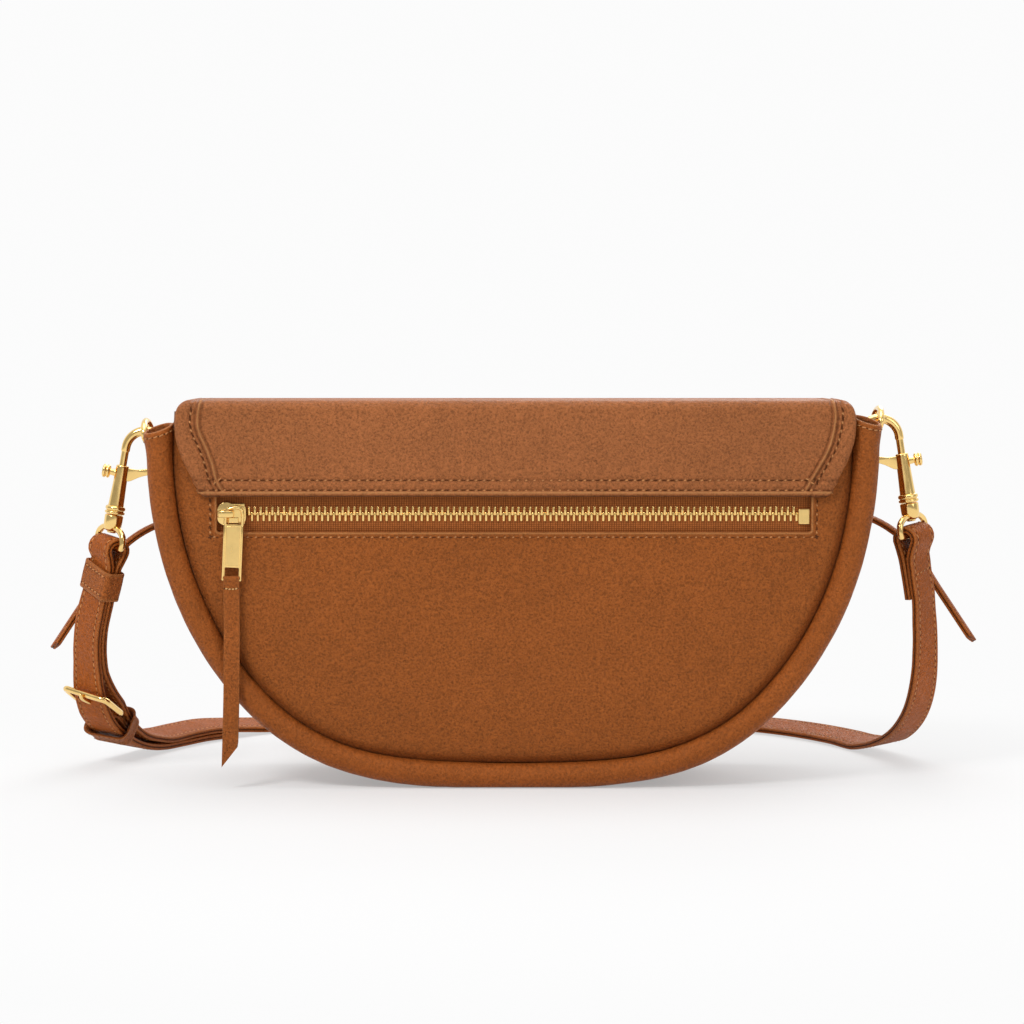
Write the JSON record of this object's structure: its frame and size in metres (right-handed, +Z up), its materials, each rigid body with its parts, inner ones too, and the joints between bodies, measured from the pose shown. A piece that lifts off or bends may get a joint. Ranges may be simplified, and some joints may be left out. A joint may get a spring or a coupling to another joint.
{
  "type": "half moon shoulder bag",
  "caption": "Half moon leather shoulder bag with a fold-over flap, a zip pocket on its back, swivel hooks at its sides and a buckled strap that lies on the ground.",
  "frame": {"origin": "middle of the back edge roll's flat foot, on the ground the bag stands on", "axes": "+X to the right of someone who looks at the zip pocket, -Y towards that person, +Z up"},
  "size_m": [0.3882, 0.1866, 0.155],
  "materials": {
    "leather": "fine-grained tan leather with a soft sheen",
    "cord": "brown cotton filling cord",
    "lining": "brown woven lining",
    "zip_tape": "brown woven zip tape",
    "gold_metal": "polished gold-coloured metal",
    "spring_steel": "bright spring wire"
  },
  "bodies": {
    "bag": {"back_panel": "leather", "front_panel": "leather", "gusset_band": "leather", "back_roll": "leather", "front_roll": "leather", "back_roll_cord": "cord", "front_roll_cord": "cord", "lining": "lining", "zip_pocket": "lining", "flap_yoke": "leather", "snap_socket": "gold_metal", "zip_tape_upper": "zip_tape", "zip_tape_lower": "zip_tape", "zip_teeth_upper": "gold_metal", "zip_teeth_lower": "gold_metal", "zip_bottom_stop": "gold_metal", "ring_tab_left": "leather", "ring_tab_right": "leather", "hook_eye_left": "gold_metal", "hook_eye_right": "gold_metal", "strap": "leather", "buckle_frame": "gold_metal", "chape": "leather", "fixed_keeper": "leather", "side_tail_left": "leather", "side_tail_right": "leather"},
    "flap_top": {"flap_top": "leather"},
    "flap_front": {"flap_front": "leather", "snap_stud": "gold_metal"},
    "slider": {"slider": "gold_metal", "slider_back_plate": "gold_metal"},
    "puller": {"puller": "gold_metal"},
    "pull_tab": {"pull_tab": "leather"},
    "ring_left": {"ring_left": "gold_metal"},
    "ring_right": {"ring_right": "gold_metal"},
    "hook_left": {"hook_left": "gold_metal", "hook_rivet_left": "gold_metal", "hook_spring_left": "spring_steel"},
    "hook_right": {"hook_right": "gold_metal", "hook_rivet_right": "gold_metal", "hook_spring_right": "spring_steel"},
    "gate_left": {"hook_gate_left": "gold_metal"},
    "gate_right": {"hook_gate_right": "gold_metal"},
    "prong": {"buckle_prong": "gold_metal"},
    "keeper": {"sliding_keeper": "leather"}
  },
  "joints": [
    {"name": "flap_lift", "type": "hinge", "parent": "bag", "child": "flap_top", "pos_m": [0, -0.00395, 0.155], "axis": [1, 0, 0], "range_deg": [0, 150]},
    {"name": "flap_fold", "type": "hinge", "parent": "flap_top", "child": "flap_front", "pos_m": [0, 0.0675, 0.15285], "axis": [1, 0, 0], "range_deg": [0, 90]},
    {"name": "zip_slide", "type": "slide", "parent": "bag", "child": "slider", "axis": [1, 0, 0], "range_m": [0, 0.216]},
    {"name": "puller_swing", "type": "hinge", "parent": "slider", "child": "puller", "pos_m": [-0.11315, -0.00565, 0.109], "axis": [0, 1, 0], "range_deg": [-12, 5]},
    {"name": "pull_tab_lift", "type": "hinge", "parent": "puller", "child": "pull_tab", "pos_m": [-0.11213, -0.00565, 0.0836], "axis": [-1, 0, 0], "range_deg": [0, 100]},
    {"name": "ring_left_swing", "type": "hinge", "parent": "bag", "child": "ring_left", "pos_m": [-0.14829, 0.025, 0.1389], "axis": [0, 1, 0], "range_deg": [-8, 8]},
    {"name": "ring_right_swing", "type": "hinge", "parent": "bag", "child": "ring_right", "pos_m": [0.14807, 0.025, 0.144], "axis": [0, 1, 0], "range_deg": [-8, 8]},
    {"name": "hook_left_swivel", "type": "hinge", "parent": "bag", "child": "hook_left", "pos_m": [-0.16175, 0.021, 0.10958], "axis": [0.1788, 0, 0.9839], "range_deg": [-8, 8]},
    {"name": "hook_right_swivel", "type": "hinge", "parent": "bag", "child": "hook_right", "pos_m": [0.16081, 0.021, 0.11436], "axis": [-0.1547, 0, 0.988], "range_deg": [-8, 8]},
    {"name": "gate_left_slide", "type": "slide", "parent": "hook_left", "child": "gate_left", "axis": [-0.1788, 0, -0.9839], "range_m": [0, 0.0045], "stiffness_N_per_m": 200, "springref_m": -0.003, "deforming": ["hook_spring_left"]},
    {"name": "gate_right_slide", "type": "slide", "parent": "hook_right", "child": "gate_right", "axis": [0.1547, 0, -0.988], "range_m": [0, 0.0045], "stiffness_N_per_m": 200, "springref_m": -0.003, "deforming": ["hook_spring_right"]},
    {"name": "prong_lift", "type": "hinge", "parent": "bag", "child": "prong", "pos_m": [-0.17273, 0.05143, 0.02476], "axis": [0.7995, -0.5305, -0.2818], "range_deg": [0, 33]},
    {"name": "keeper_slide", "type": "slide", "parent": "bag", "child": "keeper", "axis": [-0.2593, 0.1889, -0.9471], "range_m": [-0.001, 0.003]}
  ]
}
